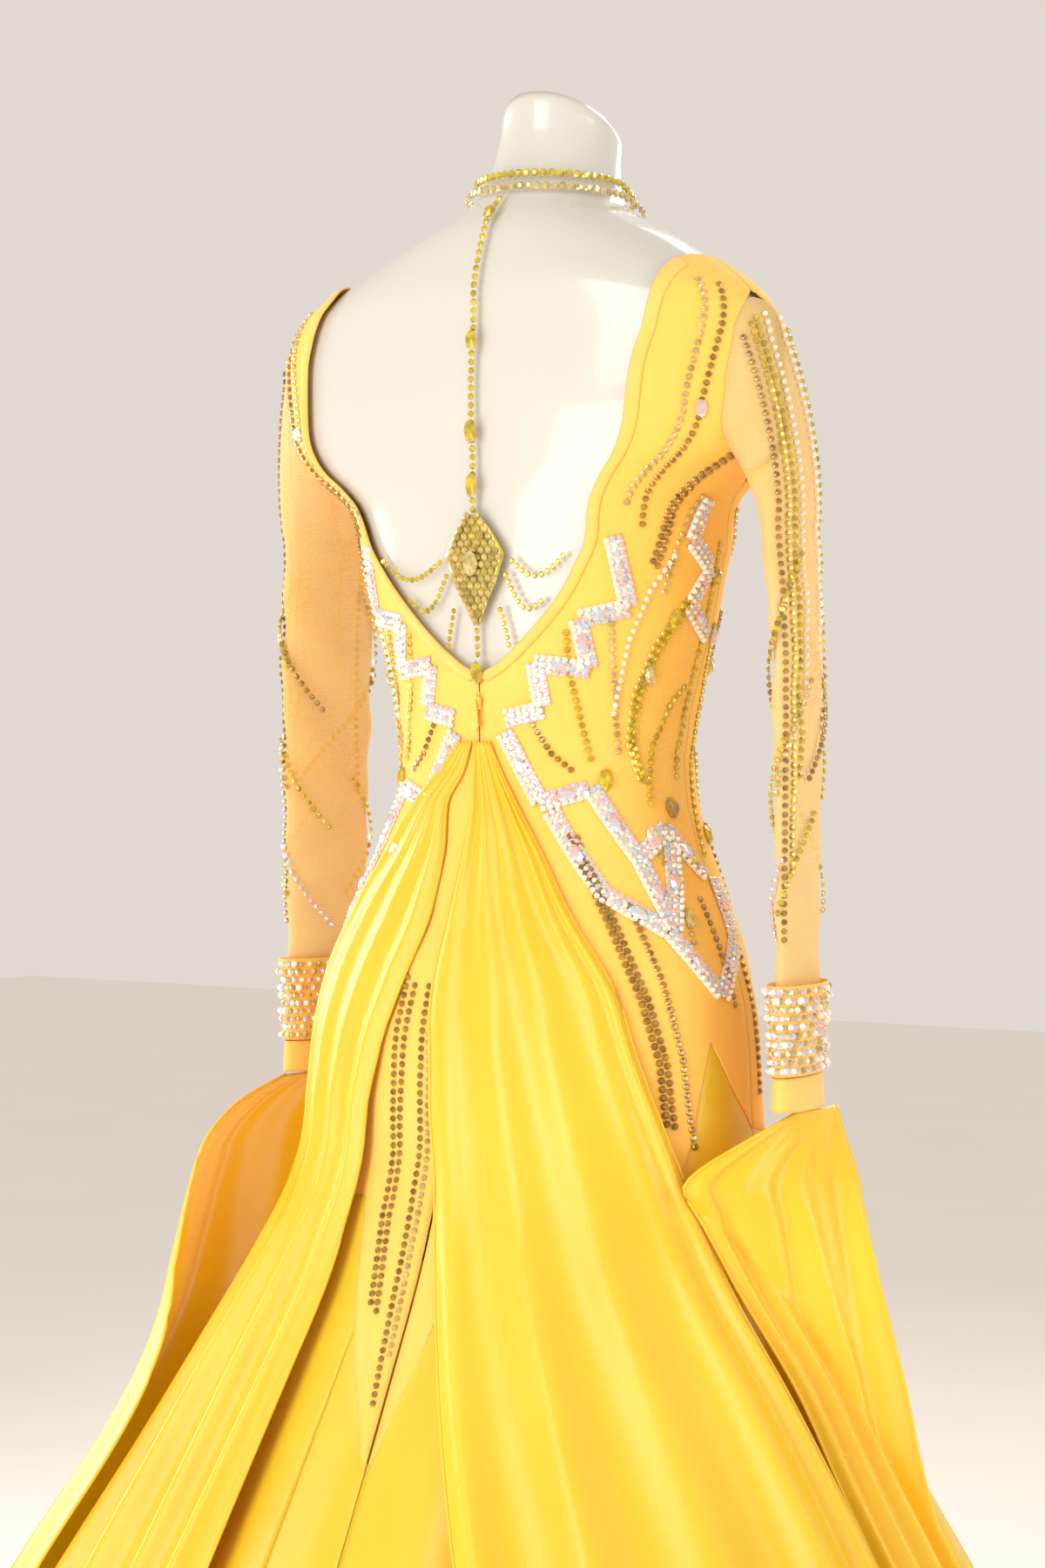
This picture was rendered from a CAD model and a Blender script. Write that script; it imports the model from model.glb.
import bpy, math
import numpy as np
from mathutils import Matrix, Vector


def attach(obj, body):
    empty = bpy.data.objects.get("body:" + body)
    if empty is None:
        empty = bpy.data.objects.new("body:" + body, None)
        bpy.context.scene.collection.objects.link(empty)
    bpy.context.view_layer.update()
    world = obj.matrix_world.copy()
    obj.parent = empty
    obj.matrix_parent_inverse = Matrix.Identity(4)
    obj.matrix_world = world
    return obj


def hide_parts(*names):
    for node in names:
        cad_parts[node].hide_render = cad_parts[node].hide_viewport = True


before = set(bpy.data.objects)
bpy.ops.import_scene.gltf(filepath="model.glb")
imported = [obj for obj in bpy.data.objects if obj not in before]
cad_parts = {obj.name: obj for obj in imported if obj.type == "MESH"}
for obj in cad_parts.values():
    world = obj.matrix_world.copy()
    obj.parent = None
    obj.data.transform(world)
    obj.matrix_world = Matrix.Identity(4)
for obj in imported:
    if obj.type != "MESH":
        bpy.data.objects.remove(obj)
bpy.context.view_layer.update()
MM = 0.001
RAD = math.pi / 180
rng = np.random.default_rng(7)

# ---------------------------------------------------------------- figure tables (mm)
def table(names, rows):
    a = np.array(rows, float); a = a[np.argsort(a[:, 0])]
    return {n: a[:, i] for i, n in enumerate(names.split())}

def at(T, key, x):
    xs = T[list(T)[0]]; ys = T[key]
    x = np.clip(np.asarray(x, float), xs[0], xs[-1])
    i = np.clip(np.searchsorted(xs, x, side="right") - 1, 0, len(xs) - 2)
    d = np.diff(ys) / np.diff(xs)
    m = np.empty(len(xs)); m[0] = d[0]; m[-1] = d[-1]
    m[1:-1] = np.where(d[:-1] * d[1:] <= 0, 0, (d[:-1] + d[1:]) / 2)
    h = xs[i + 1] - xs[i]; s = (x - xs[i]) / h
    return ys[i]*(1+2*s)*(1-s)**2 + m[i]*h*s*(1-s)**2 + ys[i+1]*s*s*(3-2*s) + m[i+1]*h*s*s*(s-1)

SEC = table("z w b f cy n", [
 [1560,47,48,48,-22,2.0],[1499,48,49,49,-18,2.0],[1468,52,53,52,-10,2.0],[1450,60,58,56,-4,2.0],[1440,73,62,61,1,2.0],
 [1430,92,66,66,6,2.05],[1418,117,64,70,13,2.1],[1404,141,62,76,20,2.15],[1390,165,60,84,26,2.25],[1374,185,58,90,30,2.4],
 [1358,195,58,94,30,2.5],[1335,200,60,98,30,2.5],[1300,200,63,106,28,2.5],[1280,196,65,110,25,2.5],[1262,182,68,113,21,2.5],
 [1248,163,71,113,18,2.4],[1235,150,74,111,15,2.3],[1200,142,77,105,10,2.2],[1150,130,80,96,4,2.1],[1100,117,82,88,0,2.1],
 [1050,110,82,85,0,2.1],[1000,121,84,94,4,2.1],[950,143,94,104,8,2.15],[900,161,106,110,12,2.2],[860,168,112,110,12,2.2],
 [820,170,112,112,12,2.2],[780,172,112,116,12,2.15],[700,172,112,116,12,2.15]])
FLARE = table("z add flute", [[800,0,0],[780,2,0],[760,7,0],[740,14,.5],[700,31,2],[640,62,4],[573,98,7],[505,135,10],[436,172,13],
 [300,240,17],[150,300,21],[28,340,24]])
NECK = table("z left right", [[1400,8,8],[1396,22,22],[1390,32,32],[1374,39,45],[1340,41,53.5],[1300,41,57],[1265,39,57.5],[1235,38,55.5],[1210,42,55.5],
 [1187,50,58.5],[1163,60,64],[1133,75,76],[1120,83,83],[1110,89.8,89.8],[1100,89.8,89.8],[700,89.8,89.8]])
def neck(sd, z): return at(NECK, "left" if sd > 0 else "right", z)
EDGE = table("z back front", [[1400,.15,.15],[1372,.15,.15],[1366,6,8],[1350,18,20],[1330,22,25],[1300,25,27],[1278,24,25],[1262,12,18],
 [1250,-8,11],[1242,-11.8,12.1],[1158,-11.8,12.1],[1097,-6.8,7.1],[1050,-5.8,6.1],[1000,-4.85,5.15],[700,-4.85,5.15]])
SEAM_BACK_L = [800,830,863,790,755,745,742,745,751,664,577]
SEAM_BACK_R = [800,830,863,790,755,745,740,740,740,745,577]
ROWS = np.array([1398,1390,1376,1362,1345,1322,1300,1280,1263,1250,1225,1200,1175,1152,1130,1112,1090,1050,1000,950,900], float)
HEM = 28.0

def spow(v, p): return np.sign(v) * np.abs(v) ** p
def skin(t, z, off=0.0):
    t, z = np.broadcast_arrays(np.asarray(t, float), np.asarray(z, float))
    c, s = np.cos(t*RAD), np.sin(t*RAD); n = at(SEC, "n", z)
    d = np.where(s > 0, at(SEC, "b", z), at(SEC, "f", z)) + off
    return np.stack([(at(SEC, "w", z)+off)*spow(c, 2/n), at(SEC, "cy", z)+d*spow(s, 2/n), z+0.0], -1)
def flute(t): return .6*np.cos((14*t+30)*RAD) + .4*np.cos((9*t+100)*RAD)
def base(t, z, off=0.0, fl=1.0, extra=0.0):
    t, z = np.broadcast_arrays(np.asarray(t, float), np.asarray(z, float))
    p = skin(t, np.maximum(z, 780), off)
    g = at(FLARE, "add", z) + fl*at(FLARE, "flute", z)*flute(t) + extra
    return np.stack([p[..., 0]+g*np.cos(t*RAD), p[..., 1]+g*np.sin(t*RAD), z+0.0], -1)
def clear(p, gap):
    z = p[..., 2]; n = at(SEC, "n", z); cy = at(SEC, "cy", z); w = at(SEC, "w", z)+gap; dy = p[..., 1]-cy
    d = np.where(dy > 0, at(SEC, "b", z), at(SEC, "f", z))+gap
    r = np.minimum((np.abs(p[..., 0]/w)**n + np.abs(dy/d)**n)**(1/n), 1)
    q = p.copy(); q[..., 0] = p[..., 0]/r; q[..., 1] = cy+dy/r
    return q

# ---------------------------------------------------------------- camera first
TH = math.radians(35)
R = Vector((-math.cos(TH), -math.sin(TH), 0)); F = Vector((math.sin(TH), -math.cos(TH), 0))
cam_data = bpy.data.cameras.new("camera"); cam = bpy.data.objects.new("camera", cam_data)
bpy.context.scene.collection.objects.link(cam)
cam.location = (-2.400*F - 0.0175*R) + Vector((0, 0, 1.070))
tilt = math.atan(55/3840)
look = (F*math.cos(tilt) + Vector((0, 0, -math.sin(tilt)))).normalized()
cam.rotation_euler = look.to_track_quat("-Z", "Y").to_euler()
cam_data.lens = 76.8; cam_data.sensor_width = 36; cam_data.sensor_fit = "AUTO"
cam_data.clip_end = 50
bpy.context.scene.camera = cam
bpy.context.scene.view_settings.view_transform = "Standard"

# ---------------------------------------------------------------- materials
def material(name, color, rough, metal=0.0, sheen=0.0, coat=0.0, coat_rough=0.05, spec=0.5, sheen_tint=None):
    m = bpy.data.materials.new(name); m.use_nodes = True
    nt = m.node_tree; b = nt.nodes["Principled BSDF"]
    b.inputs["Base Color"].default_value = (*color, 1); b.inputs["Roughness"].default_value = rough
    b.inputs["Metallic"].default_value = metal; b.inputs["Sheen Weight"].default_value = sheen
    b.inputs["Coat Weight"].default_value = coat; b.inputs["Coat Roughness"].default_value = coat_rough
    b.inputs["Specular IOR Level"].default_value = spec
    if sheen_tint: b.inputs["Sheen Tint"].default_value = (*sheen_tint, 1)
    return m, nt, b
def node(nt, kind, **kw):
    n = nt.nodes.new(kind)
    for k, v in kw.items():
        if k in n.inputs: n.inputs[k].default_value = v
        else: setattr(n, k, v)
    return n
def vary(nt, b, color, color2, scale=6.0, detail=4.0, rough=None, coord=None):
    tc = node(nt, "ShaderNodeTexCoord"); nz = node(nt, "ShaderNodeTexNoise", Scale=scale, Detail=detail)
    nt.links.new(tc.outputs["Object"], nz.inputs["Vector"])
    rp = node(nt, "ShaderNodeValToRGB")
    rp.color_ramp.elements[0].position = .3; rp.color_ramp.elements[1].position = .7
    rp.color_ramp.elements[0].color = (*color, 1); rp.color_ramp.elements[1].color = (*color2, 1)
    nt.links.new(nz.outputs["Fac"], rp.inputs["Fac"]); nt.links.new(rp.outputs["Color"], b.inputs["Base Color"])
    if rough:
        mr = node(nt, "ShaderNodeMapRange"); mr.inputs["To Min"].default_value = rough[0]; mr.inputs["To Max"].default_value = rough[1]
        nt.links.new(nz.outputs["Fac"], mr.inputs["Value"]); nt.links.new(mr.outputs["Result"], b.inputs["Roughness"])
    return tc
def weave(nt, b, tc, pitch, depth, soft=0.0, soft_scale=30.0):
    """fine crossed threads from two bands, plus a soft uneven surface"""
    w1 = node(nt, "ShaderNodeTexWave", wave_type="BANDS", bands_direction="Z", Scale=2*math.pi/(pitch*MM)/20, Distortion=.15)
    w2 = node(nt, "ShaderNodeTexWave", wave_type="BANDS", bands_direction="DIAGONAL", Scale=2*math.pi/(pitch*MM)/20, Distortion=.15)
    for w in (w1, w2): nt.links.new(tc.outputs["Object"], w.inputs["Vector"])
    mx = node(nt, "ShaderNodeMath", operation="MULTIPLY")
    nt.links.new(w1.outputs["Fac"], mx.inputs[0]); nt.links.new(w2.outputs["Fac"], mx.inputs[1])
    b1 = node(nt, "ShaderNodeBump", Strength=depth); b1.inputs["Distance"].default_value = .0003
    nt.links.new(mx.outputs[0], b1.inputs["Height"])
    out = b1
    if soft:
        nz = node(nt, "ShaderNodeTexNoise", Scale=soft_scale, Detail=3.0)
        nt.links.new(tc.outputs["Object"], nz.inputs["Vector"])
        b2 = node(nt, "ShaderNodeBump", Strength=soft); b2.inputs["Distance"].default_value = .004
        nt.links.new(nz.outputs["Fac"], b2.inputs["Height"]); nt.links.new(b2.outputs["Normal"], b1.inputs["Normal"])
    nt.links.new(out.outputs["Normal"], b.inputs["Normal"])
    return mx

STRETCH, nt, b = material("stretch_jersey", (.98, .53, .10), .70, sheen=.25, spec=.22, sheen_tint=(1, .8, .4))
tc = vary(nt, b, (1.0, .56, .10), (1.0, .63, .14), 7); weave(nt, b, tc, 1.1, .35, .10, 60)
BIND, nt, b = material("binding_jersey", (.95, .58, .12), .62, sheen=.3, spec=.3)
tc = vary(nt, b, (1.0, .56, .11), (1.0, .63, .15), 20); weave(nt, b, tc, .9, .4)
SATIN, nt, b = material("satin", (1.0, .62, .02), .33, sheen=.1, spec=.5, sheen_tint=(1, .9, .5))
tc = vary(nt, b, (1.0, .52, .02), (1.0, .60, .04), 5, rough=(.24, .36)); weave(nt, b, tc, .6, .12, .22, 14)
b.inputs["Subsurface Weight"].default_value = .5; b.inputs["Subsurface Radius"].default_value = (1, .6, .1); b.inputs["Subsurface Scale"].default_value = .006
MESH, nt, b = material("sheer_mesh", (1.0, .72, .26), .6, sheen=.2, spec=.15)
tc = vary(nt, b, (1.0, .68, .22), (1.0, .76, .31), 9)
mx = weave(nt, b, tc, 1.6, .3)
mr = node(nt, "ShaderNodeMapRange"); mr.inputs["To Min"].default_value = .40; mr.inputs["To Max"].default_value = .62
nt.links.new(mx.outputs[0], mr.inputs["Value"]); nt.links.new(mr.outputs["Result"], b.inputs["Alpha"])
TULLE, nt, b = material("white_mesh", (.93, .88, .78), .6, sheen=.3)
tc = vary(nt, b, (.90, .84, .72), (.97, .94, .88), 40); weave(nt, b, tc, 1.2, .5)
SHELL, nt, b = material("form_shell", (.86, .82, .73), .22, coat=.6, coat_rough=.08)
tc = vary(nt, b, (.62, .60, .55), (.67, .65, .60), 3, rough=(.18, .30))
STEEL, nt, b = material("stand_metal", (.72, .73, .75), .14, metal=1.0)
vary(nt, b, (.68, .69, .71), (.76, .77, .79), 12, rough=(.10, .22))
ENAMEL, nt, b = material("zip_enamel", (.93, .60, .10), .3, coat=.5)
vary(nt, b, (.90, .56, .08), (.95, .64, .13), 90, rough=(.25, .4))
def gem_material(name, c1, c2, rough=.08, metal=.35):
    m, nt, b = material(name, c1, rough, metal=metal, coat=1.0, coat_rough=.03, spec=.9)
    vary(nt, b, c1, c2, 160, 1.0, rough=(rough*.6, rough*1.5)); return m
CITRINE = gem_material("citrine_stones", (.82, .62, .02), (.40, .28, .0), .08, .3)
CHAMPAGNE = gem_material("champagne_stones", (.80, .66, .28), (.42, .30, .08), .08, .3)
SMOKY = gem_material("smoky_stones", (.50, .28, .03), (.18, .09, .01), .08, .3)
AURORA = gem_material("aurora_stones", (.58, .80, .98), (.98, .56, .50), .07, .5)
PEARL = gem_material("pearls", (.95, .90, .82), (.90, .80, .66), .22, .05)

# ---------------------------------------------------------------- mesh makers
def link(ob, mat):
    bpy.context.scene.collection.objects.link(ob); ob.data.materials.append(mat); return ob
def surface(name, P, mat, ring=False, thick=.9):
    Rn, C = P.shape[:2]
    me = bpy.data.meshes.new(name)
    idx = np.arange(Rn*C).reshape(Rn, C)
    a, bq = idx[:-1], idx[1:]
    if ring: q = np.stack([a, np.roll(a, -1, 1), np.roll(bq, -1, 1), bq], -1)
    else: q = np.stack([a[:, :-1], a[:, 1:], bq[:, 1:], bq[:, :-1]], -1)
    me.from_pydata((P.reshape(-1, 3)*MM).tolist(), [], q.reshape(-1, 4).tolist())
    me.polygons.foreach_set("use_smooth", [True]*len(me.polygons)); me.update()
    ob = link(bpy.data.objects.new(name, me), mat)
    s = ob.modifiers.new("wall", "SOLIDIFY"); s.thickness = thick*MM; s.offset = 0
    return ob
def spans(P):
    w = np.percentile(np.linalg.norm(np.diff(P, axis=1), axis=2).sum(1), 80); l = np.percentile(np.linalg.norm(np.diff(P, axis=0), axis=2).sum(0), 80)
    d1 = P[1:, :-1]-P[:-1, :-1]; d2 = P[:-1, 1:]-P[:-1, :-1]
    return w*MM, l*MM, np.linalg.norm(np.cross(d1, d2), axis=2).sum()*1e-6
def cloth(name, P, mat, ring=False, thick=.9, node_name=None):
    ob = surface(name, P, mat, ring, thick)
    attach(ob, "dress"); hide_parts(node_name or name.replace("cloth_", ""))
    Q = np.concatenate([P, P[:, :1]], 1) if ring else P
    w, l, a = spans(Q); k = max(1.02, math.sqrt(a/(w*l))*1.02, 1.0); w, l = w*k, l*k; a = min(max(a, .31*w*l), .98*w*l)
    return ob

# ---------------------------------------------------------------- dress form
zs = np.concatenate([np.linspace(706, 1468, 110)])
T = np.arange(0, 360, 3.0)
form_rows = [skin(T, z, -4.4) for z in zs]
for q in np.linspace(.1, 1, 10):
    y = skin(T, 1528.0)[:, 1]; zt = 1528+(y-27)*.43
    zz = 1468+(zt-1468)*q
    form_rows.append(skin(T, zz, -4.4 - (2.5*max(0, q-.9)/.1)))
P = np.array(form_rows)
me = bpy.data.meshes.new("form_shell"); n = P.shape[1]
idx = np.arange(P.shape[0]*n).reshape(-1, n)
q = np.stack([idx[:-1], np.roll(idx[:-1], -1, 1), np.roll(idx[1:], -1, 1), idx[1:]], -1).reshape(-1, 4).tolist()
me.from_pydata((P.reshape(-1, 3)*MM).tolist(), [], q + [idx[0][::-1].tolist(), idx[-1].tolist()])
me.polygons.foreach_set("use_smooth", [len(p.vertices) == 4 for p in me.polygons]); me.update()
form = link(bpy.data.objects.new("form_shell", me), SHELL)
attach(form, "dress"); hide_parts("form_torso")

# ---------------------------------------------------------------- fitted body
def rows_fine(n): return np.interp(np.linspace(0, len(ROWS)-1, n), np.arange(len(ROWS)), ROWS)
def tension(t, z):
    """shallow drag lines above the waist and round the hip"""
    s = .7*np.exp(-((z-1075)/38)**2)*np.sin(z/5.5+t*.06)*np.cos(t*.05+1)
    return s + .5*np.exp(-((z-930)/60)**2)*np.sin(z/9+t*.09)
def back_panel(side, nr=110, nc=56):
    seam = SEAM_BACK_L if side > 0 else SEAM_BACK_R
    u = np.linspace(0, 1, nc+1); zsm = np.interp(u*10, np.arange(11), seam)
    out = []
    for z in rows_fine(nr):
        a, bb = at(EDGE, "back", z), neck(side, z); tau = a+(bb-a)*u
        t = tau if side > 0 else 180-tau
        out.append(base(t, z, .8+tension(t, z)))
    for k in np.linspace(0, 1, 26)[1:]:
        tau = -4.85+94.65*u; t = tau if side > 0 else 180-tau; z = 900+(zsm-900)*k
        out.append(base(t, z, .8+tension(t, z)))
    return np.array(out)
BODY = {}
for nm, sd in (("left", 1), ("right", -1)):
    P = back_panel(sd); cloth("cloth_body_back_"+nm, P, STRETCH)
u = np.linspace(0, 1, 121); dip = 1398-42*np.sin(math.pi*u)**.8; out = []
for z0 in rows_fine(110):
    e = at(EDGE, "front", z0); z = 1200+(z0-1200)*(dip-1200)/198 if z0 > 1200 else z0+0*u
    t = 180+e+(180-2*e)*u; out.append(base(t, z, .8+tension(t, z)))
zsm = 800-20*np.sin(math.pi*u)
for k in np.linspace(0, 1, 18)[1:]:
    t = 185.15+169.7*u; z = 900+(zsm-900)*k; out.append(base(t, z, .8+tension(t, z)))
cloth("cloth_body_front", np.array(out), STRETCH)

# neckline binding: a rounded strip on the panel's edge
def edge_frame(z, sd):
    dz = 1.0; dt = (neck(sd, z+dz)-neck(sd, z-dz))/2*RAD*100; L = np.hypot(dt, dz)
    return dz/L, -dt/L
for nm, sd in (("left", 1), ("right", -1)):
    z = np.linspace(1394, 1111, 160); nt_, nz_ = edge_frame(z, sd); rows = []
    for k, h in ((0, 1.2), (.15, 2.4), (.35, 3.0), (.65, 3.0), (.85, 2.5), (1, 1.5)):
        tau = np.minimum(neck(sd, z)+nt_*-7*(k-.15)*180/math.pi/100, 89.7); zz = z+nz_*-7*(k-.15)
        rows.append(base(tau if sd > 0 else 180-tau, zz, h))
    ob = surface("cloth_neck_binding_"+nm, np.array(rows).transpose(1, 0, 2), BIND, thick=.8)
    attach(ob, "dress"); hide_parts("neck_binding_"+nm)

# ---------------------------------------------------------------- sleeves and cuffs
SLEEVE = table("z a b x", [[1215,47,13,207],[1150,43,11,213],[1050,40,10,215],[960,38,9,215],[905,37,9,215],[800,38,10,215]])
HANG = {1: -18.0, -1: 12.0}
def tube(side, q, z, grow=0.0):
    a, bb = at(SLEEVE, "a", z)+grow, at(SLEEVE, "b", z)+grow; turn = 12*RAD
    uu, v = bb*np.cos(q*RAD), a*np.sin(q*RAD)
    return np.stack([side*(at(SLEEVE, "x", z)+uu*math.cos(turn)+v*math.sin(turn)), HANG[side]+v*math.cos(turn)-uu*math.sin(turn), z+0*q], -1)
def armhole(side, q):
    c, s = np.cos(q*RAD), np.sin(q*RAD); z = 1309.5+57*c
    eb, ef = at(EDGE, "back", z)+.25, -(at(EDGE, "front", z)+.25); k = np.minimum(1, np.abs(s)/.3); mid = np.where(c > 0, 0, -8.5)
    tau = mid+(np.where(s > 0, eb, ef)-mid)*k
    return skin(tau if side > 0 else 180-tau, z, .8)
def sleeve_points(side, q, w):
    """w 0..1 down the cap, 1..2 down the arm"""
    if w <= 1:
        a, bb = armhole(side, q), tube(side, q, 1215.0)
        bulge = (np.cos(q*RAD)*.5+.5)*7*math.sin(math.pi*w)**.7 + 3*math.sin(math.pi*w)**.5
        p = a+(bb-a)*w; p[..., 0] += side*bulge
        return p if w == 0 else clear(p, 3.5)
    z = 1215+(897-1215)*(w-1)
    wr = 1.6*np.sin(z/13+q*.05)*np.sin(math.pi*min((w-1)*1.6, 1))*np.exp(-((z-1060)/150)**2) + .8*np.sin(z/7.3-q*.03)
    return tube(side, q, z, wr)
Q = np.arange(0, 360, 4.0)
for nm, sd in (("left", 1), ("right", -1)):
    P = np.array([sleeve_points(sd, Q, w) for w in np.concatenate([np.linspace(0, 1, 36), np.linspace(1, 2, 70)[1:]])])
    cloth("cloth_sleeve_"+nm, P, MESH, ring=True, thick=.5)
    P = np.array([tube(sd, Q, z, g) for z, g in zip(np.linspace(903, 842, 20), np.interp(np.linspace(903, 842, 20), [842, 860, 880, 903], [3.8, 3.4, 4.3, 7.3]))])
    cloth("cloth_cuff_"+nm, P, BIND, ring=True, thick=1.2)
    P = np.array([tube(sd, Q, z, g) for z, g in zip(np.linspace(841, 818, 10), np.linspace(2.2, 3.2, 10))])
    cloth("cloth_wrist_band_"+nm, P, BIND, ring=True, thick=1.0)

# ---------------------------------------------------------------- satin skirt
def skirt_extra(t, z):
    k = np.clip((760-z)/700, 0, 1)
    return k*(9*np.cos((27*t+40)*RAD+1.5*np.sin(z/170)) + 5*np.cos((41*t)*RAD+z/210))*(.6+.4*np.cos(t*.11))
def gore(t0, t1, seam, nc=48, nr=90):
    u = np.linspace(0, 1, nc+1); zt = np.interp(u*(len(seam)-1), np.arange(len(seam)), seam)-1.0
    zt = zt+7; t = t0+(t1-t0)*u - np.sign(t1-t0)*.12*(1-2*u)
    ks = np.linspace(0, 1, nr)
    return np.array([base(t, zt+(HEM-zt)*k, .8-1.3*math.exp(-(k/.012)**2), 1.0, skirt_extra(t, zt+(HEM-zt)*k)) for k in ks])
dB = 9.465; tl = lambda j: -4.85+dB*j; tr = lambda j: 184.85-dB*j
SF = [800-20*math.sin(math.pi*j/18) for j in range(19)]
for nm, P in (("skirt_side_left", gore(tl(0), tl(4), SEAM_BACK_L[0:5])), ("skirt_back_left", gore(tl(4), tl(9), SEAM_BACK_L[4:10])),
              ("skirt_back_godet", gore(tl(9), tl(10), SEAM_BACK_L[9:11], 20)), ("skirt_back_right", gore(tr(10), tr(4), SEAM_BACK_R[4:11][::-1], 64)),
              ("skirt_side_right", gore(tr(4), tr(0), SEAM_BACK_R[0:5][::-1])), ("skirt_front_right", gore(185.15, 270, SF[0:10], 90)),
              ("skirt_front_left", gore(270, 354.85, SF[9:], 90))):
    cloth("cloth_"+nm, P, SATIN)

# ---------------------------------------------------------------- drapes and floats
DRAPE_L = table("z t0 t1 off pleat", [[1066,83,87.4,3,.4],[1045,72,84,3.2,1.2],[1023,60,78,3.6,2],[990,48,80,4,2.5],[950,38,81,4.5,3],[900,35,78,5,3],
 [850,34,73,7,3.5],[800,36,70,11,4],[750,38,71,14,4],[700,41,73,17,8],[640,44,74,20,11],[573,46,75,22,13],[480,48,76.5,26,16],[300,50,78,34,19],[28,51,79,44,22]])
DRAPE_R = table("z t0 t1 off pleat", [[1066,88.8,94,3,.4],[1045,88.4,99,3.2,1.2],[1023,88.5,105,3.6,2],[990,87.5,114,4,2.5],[950,87,122,4.5,3],[900,87,134,5,3],
 [850,88,140,7,3.5],[800,89,147,11,4],[750,92,153,14,4],[700,96,157,17,8],[640,101,162,20,11],[573,106,165,22,14],[480,112,166.5,26,18],[300,117,168,34,22],[28,120,169,44,26]])
def drape(T, folds, uneven, nc=120, nr=180):
    """folds: rows of place across, width, depth share, sway down the length"""
    u = np.linspace(0, 1, nc+1); out = []
    for z in np.interp(np.linspace(0, 1, nr), [0, .3, 1], [1066, 900, HEM]):
        t = at(T, "t0", z)+(at(T, "t1", z)-at(T, "t0", z))*u
        k = float(np.clip((1066-z)/380, 0, 1)); d = float(at(T, "pleat", z)); h = 0*u
        for c, wd, dep, sway, drift in folds:
            cc = c+sway*math.sin((1066-z)/310+c*9)+drift*k
            x = (u-cc)/(wd*(1-.25*k)); h += dep*np.exp(-x*x)*(1-.25*math.sin(z/130+c*17))
        h += max(0, 1-k*3.2)*.45*(1+np.cos(2*math.pi*9*u+uneven))*.5 + .05*np.sin(2*math.pi*2.3*u-z/230+uneven)*k
        roll = np.exp(-(u/.025)**2)+np.exp(-((1-u)/.025)**2)
        out.append(base(t, z, at(T, "off", z)+at(FLARE, "flute", z)+d*1.2*h-roll*min(d*.4, 4), 0))
    return np.array(out)
FOLDS_L = [(.10,.075,.9,.01,.0),(.38,.10,1.0,.015,.03),(.66,.08,.85,.012,.0),(.90,.06,.9,.008,.0)]
FOLDS_R = [(.06,.055,.85,.008,.0),(.30,.095,1.0,.018,.02),(.58,.11,.95,.02,-.01),(.82,.07,.9,.012,.0),(.95,.04,1.0,.006,.0)]
PL, PR = drape(DRAPE_L, FOLDS_L, 1.0), drape(DRAPE_R, FOLDS_R, 2.2)
cloth("cloth_drape_left", PL, SATIN)
cloth("cloth_drape_right", PR, SATIN)
FLOAT_L = table("z t0 t1 r0 r1 fold", [[816,-14,3,222,222,0],[800,-16,18,225,230,2],[775,-19,31,234,240,3],[750,-21,33,243,247,4],[700,-24,36,258,256,6],
 [650,-26,41,272,264,8],[600,-28,43.5,296,284,10],[480,-30,45.5,366,360,13],[300,-33,47.5,460,458,17],[28,-35,48.5,558,556,20]])
FLOAT_R = table("z t0 t1 r0 r1 fold", [[816,177,193,222,222,0],[806,171,191,214,227,1],[793,164,189.5,204,233,2],[780,158,188,195,240,3],[768,155.5,186.5,190,246,4],
 [750,158.5,185,190,252,5],[700,163,183,190,268,7],[640,167.5,182,200,286,9],[573,168.5,181.5,230,302,10],[480,170,181.5,290,332,12],[300,171.5,182.5,410,432,15],[28,172.5,184,520,545,18]])
def floaty(T, folds, ph, nc=100, nr=150):
    u = np.linspace(0, 1, nc+1); out = []
    for z in np.interp(np.linspace(0, 1, nr), [0, .3, 1], [816, 700, HEM]):
        t = at(T, "t0", z)+(at(T, "t1", z)-at(T, "t0", z))*u
        q = base(t, z, 14, 0); reach = np.hypot(q[:, 0], q[:, 1]-12)+at(FLARE, "flute", z)
        f = float(at(T, "fold", z)); k = float(np.clip((816-z)/300, 0, 1)); h = 0*u
        for c, wd, dep, sway in folds:
            cc = c+sway*math.sin((816-z)/240+c*7); x = (u-cc)/(wd*(1-.2*k)); h += dep*np.exp(-x*x)
        h += max(0, 1-k*1.8)*.5*(1+np.cos(2*math.pi*6*u+ph))*.5+.06*np.sin(2*math.pi*2.6*u+z/210+ph)*k
        r = np.maximum(at(T, "r0", z)+(at(T, "r1", z)-at(T, "r0", z))*u, reach)+f*1.25*h
        out.append(np.stack([r*np.cos(t*RAD), 12+r*np.sin(t*RAD), z+0*r], -1))
    return np.array(out)
FL = floaty(FLOAT_L, [(.08,.07,.9,.01),(.34,.11,.9,.02),(.64,.10,1.0,.02),(.91,.06,.9,.01)], .8)
FR = floaty(FLOAT_R, [(.07,.06,.8,.01),(.36,.11,1.0,.02),(.68,.11,.95,.02),(.94,.05,1.0,.01)], 1.9)
cloth("cloth_float_left", FL, SATIN)
cloth("cloth_float_right", FR, SATIN)

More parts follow.
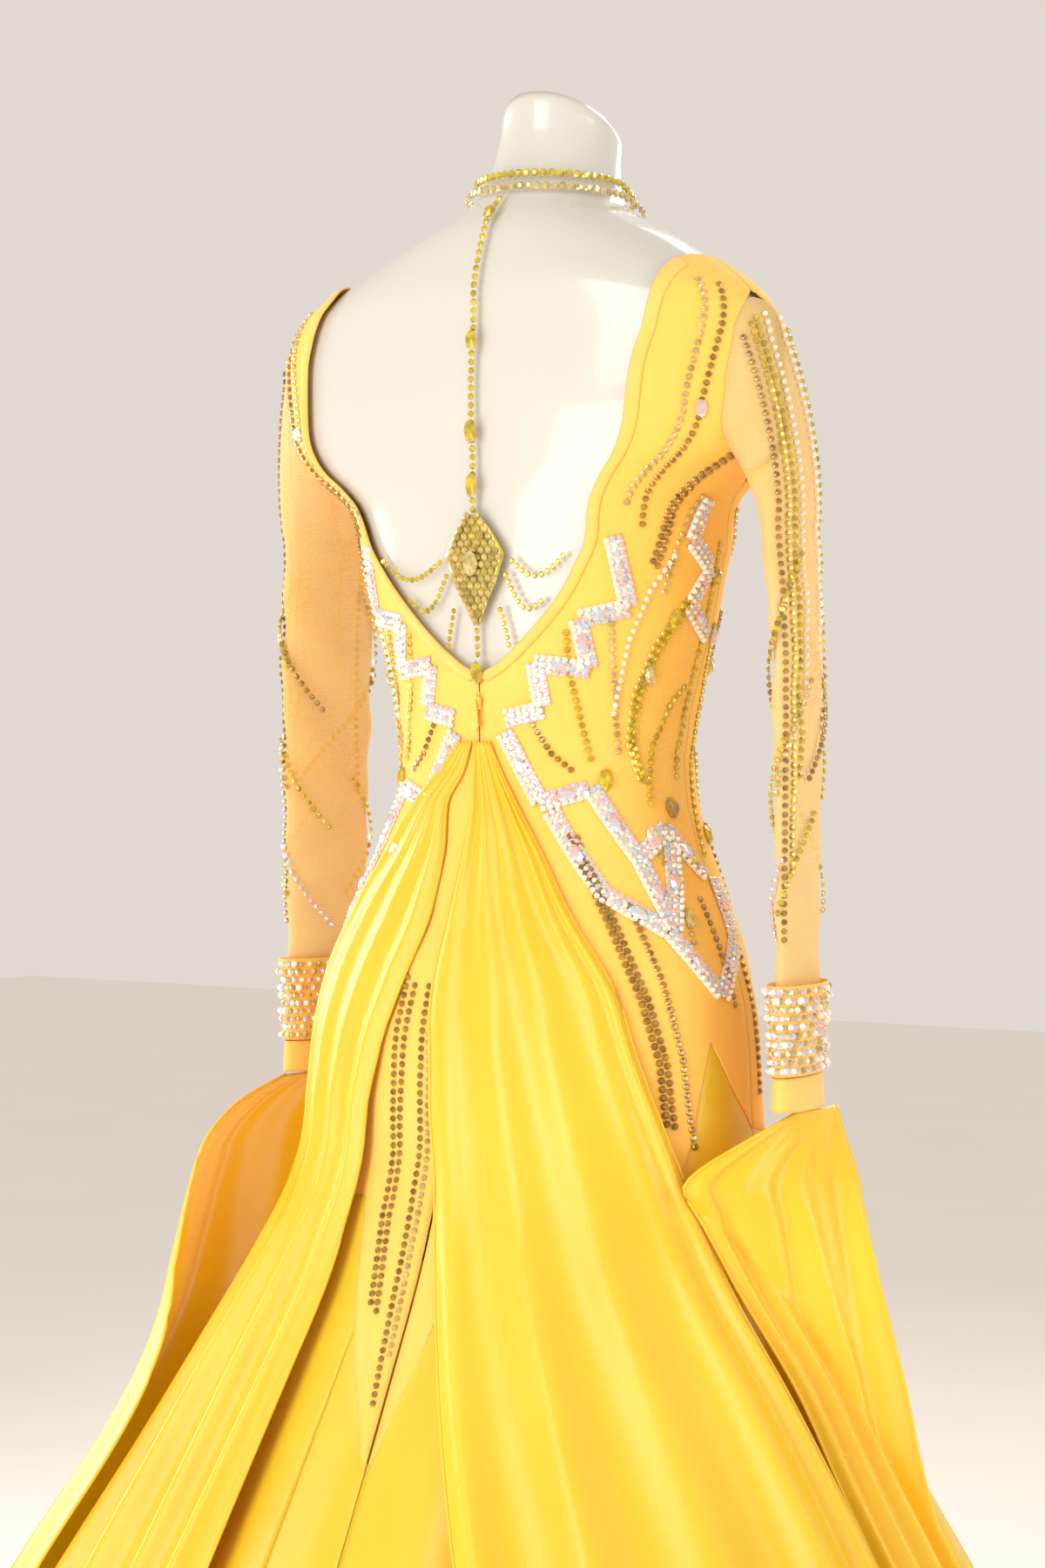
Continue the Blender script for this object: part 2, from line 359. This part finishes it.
# rolled edges: a satin cord along free edges of drapes and floats
def cord_mesh(name, pts, r, mat, sides=8):
    pts = np.asarray(pts); n = len(pts); Tn = np.gradient(pts, axis=0); Tn /= np.linalg.norm(Tn, axis=1)[:, None]
    up = np.where(np.abs(Tn[:, 2:3]) > .9, [[1., 0, 0]], [[0, 0, 1.]]); S = np.cross(Tn, up); S /= np.linalg.norm(S, axis=1)[:, None]; U = np.cross(S, Tn)
    a = np.arange(sides)*2*math.pi/sides
    P = pts[:, None]+r*(np.cos(a)[None, :, None]*S[:, None]+np.sin(a)[None, :, None]*U[:, None])
    me = bpy.data.meshes.new(name); idx = np.arange(n*sides).reshape(n, sides)
    q = np.stack([idx[:-1], np.roll(idx[:-1], -1, 1), np.roll(idx[1:], -1, 1), idx[1:]], -1).reshape(-1, 4).tolist()
    me.from_pydata((P.reshape(-1, 3)*MM).tolist(), [], q+[idx[0][::-1].tolist(), idx[-1].tolist()])
    me.polygons.foreach_set("use_smooth", [True]*len(me.polygons)); me.update()
    return link(bpy.data.objects.new(name, me), mat)
for nm, pts in (("edge_drape_left_slit", PL[:, -1]), ("edge_drape_left_outer", PL[:, 0]), ("edge_drape_right_slit", PR[:, 0]), ("edge_drape_right_outer", PR[:, -1]),
                ("edge_float_left_front", FL[:, 0]), ("edge_float_left_back", FL[:, -1]), ("edge_float_right_front", FR[:, -1]), ("edge_float_right_back", FR[:, 0])):
    ob = cord_mesh(nm, pts[::2], 1.3, SATIN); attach(ob, "dress")

# ---------------------------------------------------------------- stones
def gem(kind):
    """one faceted stone of unit width: points and triangles; z is outwards"""
    if kind == "pearl":
        pts, tri = [(0, 0, .9)], []; k = 8; rings = ((.62, .78), (1., .38), (.9, .0))
    else:
        pts, tri = [(0, 0, .5)], []; k = 8; rings = ((.55, .5), (1., .18), (.92, 0.))
    for r, h in rings:
        for j in range(k):
            a = 2*math.pi*(j+.5*(r < .6))/k; pts.append((r*.5*math.cos(a), r*.5*math.sin(a), h if kind != "pearl" else h*.9))
    for j in range(k): tri.append((0, 1+j, 1+(j+1) % k))
    for m in range(2):
        for j in range(k):
            a, b2 = 1+m*k+j, 1+m*k+(j+1) % k; tri += [(a, a+k, b2), (b2, a+k, b2+k)]
    base_ring = [1+2*k+j for j in range(k)]
    for j in range(1, k-1): tri.append((base_ring[0], base_ring[j+1], base_ring[j]))
    return np.array(pts), np.array(tri)
GEMS = {"cut": gem("cut"), "pearl": gem("pearl")}
BAG = {}
def stones(group, pts, nrm, size, kind="cut", long=1.0, along=None):
    pts = np.atleast_2d(pts); nrm = np.atleast_2d(nrm); n = len(pts)
    nrm = nrm/np.linalg.norm(nrm, axis=1)[:, None]
    if along is None: along = np.tile([0., 0., 1.], (n, 1))
    along = np.atleast_2d(along); X = along-nrm*(along*nrm).sum(1)[:, None]; X /= np.linalg.norm(X, axis=1)[:, None]+1e-9; Y = np.cross(nrm, X)
    V, Tt = GEMS[kind]; size = np.broadcast_to(np.asarray(size, float), (n,))
    tiltX = rng.normal(0, .05, (n, 1)); N2 = nrm+X*tiltX
    W = pts[:, None]+size[:, None, None]*(V[None, :, 0, None]*X[:, None]*long+V[None, :, 1, None]*Y[:, None]+V[None, :, 2, None]*N2[:, None]*.9)
    BAG.setdefault(group, []).append((W.reshape(-1, 3), (Tt[None]+np.arange(n)[:, None, None]*len(V)).reshape(-1, 3)))
def skin_at(t, z, off, fn=None):
    fn = fn or (lambda t, z: base(t, z, off, 0 if np.min(z) > 780 else 1))
    p = fn(t, z); du = fn(t+.3, z)-p; dv = fn(t, z+1.)-p; nn = np.cross(du, dv)
    c = np.stack([p[..., 0], p[..., 1]-12, 0*p[..., 0]], -1); nn *= np.sign((nn*c).sum(-1))[..., None]
    return p, nn
def resample(t, z, pitch, off=2.2, fn=None):
    tt = np.interp(np.linspace(0, 1, 400), np.linspace(0, 1, len(t)), t); zz = np.interp(np.linspace(0, 1, 400), np.linspace(0, 1, len(z)), z)
    p = (fn or (lambda a, c: base(a, c, off)))(tt, zz); L = np.r_[0, np.cumsum(np.linalg.norm(np.diff(p, axis=0), axis=1))]
    s = np.arange(pitch/2, L[-1], pitch)
    return np.interp(s, L, tt), np.interp(s, L, zz)
def row(group, t, z, pitch, size, off=1.5, kind="cut", **kw):
    t, z = resample(np.asarray(t, float), np.asarray(z, float), pitch); p, nn = skin_at(t, z, off); stones(group, p, nn, size, kind, **kw)
mir = lambda sd, tau: tau if sd > 0 else 180-tau

# angular bands of crystals and pearls on white mesh, in a layout of its own: straight runs with sharp corners
def band(name, tau, z, sd, width=13.0):
    tau, z = np.asarray(tau, float), np.asarray(z, float); P, run = [], 0
    for i in range(len(tau)-1):
        tt, zz = resample(tau[i:i+2], z[i:i+2], 2.6); tt = mir(sd, tt)
        p, nn = skin_at(tt, zz, 1.5); nn /= np.linalg.norm(nn, axis=1)[:, None]
        Tn = np.gradient(p, axis=0); Tn /= np.linalg.norm(Tn, axis=1)[:, None]; S = np.cross(nn, Tn)
        W = [p+S*k+nn*(.2+.05*i) for k in (-width/2, -width/4, 0, width/4, width/2)]
        ob = surface("band_%s_%d" % (name, i), np.stack(W, 1), TULLE, thick=.5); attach(ob, "dress")
        for k in (-4.7, 4.7): stones("aurora" if k > 0 else "pearl", (p+S*k+nn*.5)[::2], nn[::2], 4.5, "cut" if k > 0 else "pearl")
        jit = rng.normal(0, .5, (len(p), 1)); m = np.arange(len(p))
        stones("aurora", (p+S*jit+nn*.6)[m % 4 == 0], nn[m % 4 == 0], 5.2, along=S[m % 4 == 0]+Tn[m % 4 == 0]); stones("pearl", (p+S*jit+nn*.5)[m % 4 == 2], nn[m % 4 == 2], 4.0, "pearl")
        if len(p) > 12:
            j = len(p)//2; stones("aurora", (p+nn*1.0)[j:j+1], nn[j:j+1], 8.5, long=1.7, along=Tn[j:j+1])
BANDS = {"opening": ([47, 38, 56, 50, 70, 66, 80], [1206, 1158, 1150, 1116, 1122, 1088, 1084]),
         "hip_upper": ([80, 66, 46, 30, 14, -2], [1072, 1024, 1034, 986, 1006, 974]),
         "hip_lower": ([62, 46, 24, 6, -8, -8], [1018, 962, 936, 892, 930, 974]),
         "hip_strut": ([30, 22, 12], [986, 938, 1000]),
         "side": ([4, 12, -2, 9, -6], [1232, 1204, 1186, 1160, 1140]),
         "front": ([-40, -54, -50, -72, -84], [1210, 1180, 1140, 1120, 1080])}
for sd, nm in ((1, "left"), (-1, "right")):
    for g, (tau, z) in BANDS.items():
        tau = np.array(tau, float)
        if g == "opening" and sd > 0: tau[:2] -= 6
        if g == "opening": z = [1206, 1158, 1150, 1116, 1120, 1088, 1082]
        band(g+"_"+nm, tau, z, sd)
# curved rows of stones on the body, single and double
ARCS = [("champagne", [27, 34, 40, 42, 43], [1380, 1345, 1300, 1262, 1225], 4.8, 1), ("smoky", [19, 27, 34, 36, 36], [1376, 1340, 1296, 1256, 1214], 4.6, 1),
        ("smoky", [12, 18, 25, 31], [1262, 1248, 1226, 1186], 4.8, 2), ("champagne", [8, 14, 20, 24], [1236, 1222, 1200, 1165], 4.6, 1),
        ("citrine", [4, 14, 24, 30, 30, 24], [1176, 1158, 1132, 1098, 1066, 1040], 5.4, 2), ("pearl", [20, 30, 36, 38], [1196, 1170, 1135, 1085], 4.2, 1),
        ("citrine", [2, 10, 17, 20], [1106, 1092, 1066, 1022], 5.0, 1), ("champagne", [44, 42, 38, 34], [1150, 1126, 1092, 1056], 4.8, 1),
        ("citrine", [60, 58, 53, 46], [1144, 1118, 1090, 1054], 5.0, 1), ("smoky", [70, 62, 52], [1080, 1058, 1044], 4.6, 1),
        ("citrine", [-6, -5, -2, 2], [1206, 1160, 1110, 1040], 5.0, 1), ("citrine", [-14, -16, -12, -8], [1150, 1090, 1040, 985], 5.0, 1),
        ("smoky", [56, 47, 38, 33, 31], [1004, 950, 895, 850, 805], 5.2, 2), ("smoky", [38, 30, 25, 22], [956, 906, 852, 790], 5.0, 1),
        ("champagne", [20, 16, 14], [990, 962, 924], 4.6, 1), ("smoky", [6, 2, 0], [960, 925, 880], 4.8, 1), ("smoky", [-10, -12, -13], [925, 880, 820], 4.8, 1),
        ("champagne", [-20, -30, -42, -55], [1230, 1206, 1190, 1184], 4.8, 1), ("smoky", [-24, -36, -50, -64], [1160, 1120, 1090, 1070], 4.8, 2),
        ("champagne", [-20, -34, -50, -66], [1060, 1030, 990, 940], 4.8, 1), ("citrine", [-30, -42, -58, -76], [1300, 1286, 1276, 1274], 5.0, 2),
        ("smoky", [-24, -36, -44, -48], [1010, 960, 900, 830], 4.8, 1), ("citrine", [-70, -74, -78], [1060, 990, 920], 5.0, 1)]
for g, tau, z, sz, dbl in ARCS:
    for sd in (1, -1):
        for d in range(dbl):
            tt = np.array(tau, float)-d*2.6; kd = "pearl" if g == "pearl" else "cut"
            if sd > 0 and max(z) > 1200 and tau[0] > 0: tt -= 5
            row(g, mir(sd, tt), np.array(z, float)-d*1.5, 5.9, sz, kind=kd)
# rows down the tongue between the drapes
for g, tau, z in (("smoky", [79, 77, 76.5, 78, 82], [905, 850, 800, 740, 680]), ("smoky", [81.5, 79.6, 78.6, 80, 83.6], [900, 850, 800, 736, 676]), ("smoky", [85.5, 84.5, 84.6, 86, 88.4], [900, 830, 760, 690, 615]), ("champagne", [86.9, 86.4, 87, 88.6], [880, 800, 720, 650])):
    row(g, tau, z, 6.2, 4.8, off=1.6)
# larger fancy stones scattered between the rows
FANCY = [(16, 1150, "citrine", 11, 1.4), (24, 1112, "champagne", 10, 1.5),
         (40, 1040, "citrine", 10, 1.6), (22, 1000, "aurora", 9, 1.7), (8, 1020, "smoky", 11, 1.4), (2, 985, "citrine", 10, 1.5), (14, 945, "champagne", 9, 1.6),
         (-6, 1180, "citrine", 10, 1.5), (-14, 1140, "aurora", 9, 1.6), (-20, 1000, "citrine", 10, 1.5), (-34, 1120, "champagne", 10, 1.5), (34, 1290, "aurora", 8, 1.7)]
for tau, z, g, sz, lg in FANCY:
    for sd in (1, -1):
        p, nn = skin_at(np.array([mir(sd, float(tau))]), np.array([float(z)]), 1.5); stones(g, p, nn, sz, long=lg)
# sleeves: slanting rows down the outside and back
def sleeve_fn(sd, grow): return lambda q, z: tube(sd, q, z, grow)
for sd in (1, -1):
    for k, (g, q0, q1, z0, z1) in enumerate([("citrine", 20, 110, 1195, 1120), ("smoky", 60, 160, 1160, 1090), ("champagne", 10, 100, 1110, 1030), ("citrine", 70, 170, 1070, 1000),
                             ("citrine", 0, 95, 1020, 950), ("aurora", 80, 175, 990, 925), ("champagne", 200, 320, 1180, 1080), ("citrine", 200, 320, 1040, 950), ("smoky", 260, 380, 1120, 1040)]):
        fn = sleeve_fn(sd, 2.4); t, z = resample(np.linspace(q0, q1, 12), np.linspace(z0, z1, 12), 6.6, fn=fn)
        p = fn(t, z); nn = fn(t, z)-np.stack([sd*at(SLEEVE, "x", z), HANG[sd]+0*z, z], -1)
        a, bb = at(SLEEVE, "a", z), at(SLEEVE, "b", z)
        nn = np.stack([sd*np.cos(t*RAD)/bb, np.sin(t*RAD)/a, 0*z], -1); stones(g, p, nn, 4.8)
    # cuffs covered all over
    for i, z in enumerate(np.linspace(846, 899, 10)):
        q = (np.arange(32)+.5*(i % 2))*360/32; gr = np.interp(z, [842, 860, 880, 903], [4.4, 4.0, 4.9, 7.9]); p = tube(sd, q, z+0*q, gr)
        nn = np.stack([sd*np.cos(q*RAD)/10, np.sin(q*RAD)/40, 0*q], -1)
        for m, g, kd in ((0, "aurora", "cut"), (1, "champagne", "cut"), (2, "pearl", "pearl")):
            sel = ((np.arange(32)*7+i*5) % 11) % 3 == m; stones(g, p[sel], nn[sel], rng.uniform(3.6, 6.2, int(sel.sum())), kd)

# shoulder rows on the sleeve cap
for sd in (1, -1):
    for g, kd, q0, q1, w1, sz in (("pearl", "pearl", 8, 20, 1.35, 4.0), ("citrine", "cut", 22, 34, 1.55, 4.8), ("citrine", "cut", 32, 52, 1.75, 4.8), ("smoky", "cut", 48, 74, 1.9, 4.4), ("pearl", "pearl", -12, -26, 1.3, 4.0), ("citrine", "cut", -30, -60, 1.6, 4.6)):
        ws = np.linspace(.06, w1, 60); pts = np.array([sleeve_points(sd, np.array([float(q0+(q1-q0)*i/59)]), float(w))[0] for i, w in enumerate(ws)])
        L = np.r_[0, np.cumsum(np.linalg.norm(np.diff(pts, axis=0), axis=1))]; sv = np.arange(3, L[-1], 6.0)
        pp = np.stack([np.interp(sv, L, pts[:, k]) for k in range(3)], 1); qq = np.interp(sv, L, q0+(q1-q0)*np.linspace(0, 1, 60))
        nn = np.stack([sd*np.cos(qq*RAD), np.sin(qq*RAD)*.6, 0*qq+.15], -1); nn /= np.linalg.norm(nn, axis=1)[:, None]; stones(g, pp+nn*.9, nn, sz, kd)
# jewellery strands
def strand_row(group, pts, nn, sizes, **kw): stones(group, pts, nn, sizes, **kw)
def along_pts(pts, nn, pitch):
    L = np.r_[0, np.cumsum(np.linalg.norm(np.diff(pts, axis=0), axis=1))]; s = np.arange(pitch/2, L[-1], pitch)
    return np.stack([np.interp(s, L, pts[:, k]) for k in range(3)], 1), np.stack([np.interp(s, L, nn[:, k]) for k in range(3)], 1)
def jewel(name, nodes, parts):
    V, T2, n = [], [], 0
    for W, tr_ in parts: V.append(W); T2.append(tr_+n); n += len(W)
    V = np.concatenate(V); T2 = np.concatenate(T2)
    me = bpy.data.meshes.new(name); me.from_pydata((V*MM).tolist(), [], T2.tolist()); me.update()
    return me
def neck_ring(z0, off):
    t = np.arange(0, 361, 3.0); k = np.sin(t*RAD); z = z0+np.where(k > 0, 4, 16)*k
    p = skin(t, z, off); return p, np.stack([np.cos(t*RAD), np.sin(t*RAD), 0*t], -1)
JEWELS = {}
def take(name, group):
    JEWELS.setdefault(name, []).append(group)
for nm, z0, off, g in (("choker_upper", 1462, 1.6, "J_citrine"), ("choker_lower", 1452, 2.4, "J_champ")):
    p, nn = neck_ring(z0, off); p, nn = along_pts(p, nn, 6.0); stones(nm, p, nn, 6.0)
def chain(nm, t, z, size, pitch, off=1.6, **kw):
    t, z = resample(np.asarray(t, float), np.asarray(z, float), pitch); p, nn = skin_at(t, z, off, lambda a, c: base(a, c, off, 0)); stones(nm, p, nn, size, **kw)
chain("back_chain", [90, 90], [1449, 1226], 5.2, 6.0)
for z, sz, lg in ((1436, 9, 1.5), (1345, 9, 1.6), (1281, 10, 1.7), (1244, 9, 2.0)):
    p, nn = skin_at(np.array([90.]), np.array([float(z)]), 3.2, lambda a, c: base(a, c, 3.2, 0)); stones("back_chain", p, nn, sz, long=lg)
chain("back_chain_lower", [90, 90], [1146, 1122], 4.6, 5.4)
p, nn = skin_at(np.array([90.]), np.array([1114.]), 3.2, lambda a, c: base(a, c, 3.2, 0)); stones("back_chain_lower", p, nn, 10, long=1.7)
mz = np.linspace(1147, 1224, 30); mw = np.interp(mz, [1147, 1160, 1176, 1196, 1212, 1224], [2, 8, 16, 22, 12, 3])
P = np.stack([base(90+k*mw/140*57.3*.95, mz, 2.6, 0) for k in np.linspace(-1, 1, 13)], 1)
plate_ = surface("motif_backing", P, CITRINE, thick=.8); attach(plate_, "dress")
for z in np.arange(1150, 1224, 4.9):                      # lozenge covered with stones
    w = np.interp(z, [1147, 1160, 1176, 1196, 1212, 1224], [1.5, 6, 13, 19, 10, 2]) * .95
    x = np.arange(-4, 4.1)*4.9+(2.45 if int(round((z-1150)/4.9)) % 2 else 0); x = x[np.abs(x) <= w*1.12]
    t = 90+x/140*57.3; p, nn = skin_at(t, z+0*t, 3.6, lambda a, c: base(a, c, 3.6, 0)); stones("back_motif", p, nn, 5.0)
p, nn = skin_at(np.array([90.]), np.array([1190.]), 6.0, lambda a, c: base(a, c, 6.0, 0)); stones("back_motif", p, nn, 12, long=1.5)
for sd, nm in ((1, "left"), (-1, "right")):
    u = np.linspace(0, 1, 24)
    chain("swag_upper_"+nm, mir(sd, 79.8+((51.5 if sd > 0 else 62)-79.8)*u), 1193+3*u-14*np.sin(math.pi*u), 4.4, 5.2)
    chain("swag_lower_"+nm, mir(sd, 81.3+((63.5 if sd > 0 else 67.5)-81.3)*u), 1184-18*u-16*np.sin(math.pi*u), 4.4, 5.2)
    zz = np.linspace(1160, 1130, 12); chain("fringe_"+nm, 90-sd*(zz-1100)/60*-7.5-sd*15, zz, 4.2, 5.0)

def lay(name, parts, mat, node_name=None):
    me = jewel(name, node_name, parts); ob = link(bpy.data.objects.new(name, me), mat)
    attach(ob, "dress")
    if node_name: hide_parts(node_name)
    return ob
MATS = {"citrine": CITRINE, "champagne": CHAMPAGNE, "smoky": SMOKY, "aurora": AURORA, "pearl": PEARL}
for g, parts in BAG.items():
    if g in MATS: lay("stones_"+g, parts, MATS[g])
    else: lay("jewel_"+g, parts, CHAMPAGNE if g in ("choker_lower", "back_motif") else CITRINE, g)

# ---------------------------------------------------------------- carried-over CAD pieces
for nm, mat in (("stand_pole", STEEL), ("stand_base", STEEL), ("zip_slider", ENAMEL), ("zip_pull", ENAMEL)):
    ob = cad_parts[nm]; ob.data.materials.clear(); ob.data.materials.append(mat)
# zip teeth below the opening
zz = np.arange(1100, 1076, -1.6); p, nn = skin_at(90+0*zz, zz, 1.0); stones("zip", p, nn, 1.5); 
lay("zip_teeth", BAG["zip"], ENAMEL)

# ---------------------------------------------------------------- floor and light
me = bpy.data.meshes.new("floor"); me.from_pydata([(-9, -9, 0), (9, -9, 0), (9, 9, 0), (-9, 9, 0)], [], [(0, 1, 2, 3)])
FLOOR, nt, b = material("floor_paper", (.93, .89, .85), .9, spec=.1); vary(nt, b, (.92, .88, .84), (.94, .90, .86), 3)
floor = link(bpy.data.objects.new("floor", me), FLOOR)
w = bpy.data.worlds.new("studio"); w.use_nodes = True; bpy.context.scene.world = w
w.node_tree.nodes["Background"].inputs["Color"].default_value = (.88, .81, .74, 1); w.node_tree.nodes["Background"].inputs["Strength"].default_value = .86
def area(name, side, up, back, size, power, color=(1, 1, 1)):
    l = bpy.data.lights.new(name, "AREA"); l.shape = "RECTANGLE"; l.size = size[0]; l.size_y = size[1]; l.energy = power; l.color = color
    o = bpy.data.objects.new(name, l); bpy.context.scene.collection.objects.link(o)
    o.location = Vector((0, 0, 1.0)) + R*side - F*back + Vector((0, 0, up))
    o.rotation_euler = (Vector((0, 0, 1.0))-o.location).to_track_quat("-Z", "Y").to_euler()
area("key", -1.9, 1.4, 2.2, (1.4, 1.8), 29, (1, .98, .95))
area("fill", 2.4, .6, 1.8, (1.6, 2.0), 30, (1, .97, .93))
area("low", -1.6, -.35, 1.6, (1.2, 1.4), 22, (1, .95, .88))
area("rim", 1.2, 1.6, -2.2, (1.2, 1.6), 22)
area("rim_left", -1.9, .5, -1.5, (1.2, 1.4), 26, (1, .96, .9))
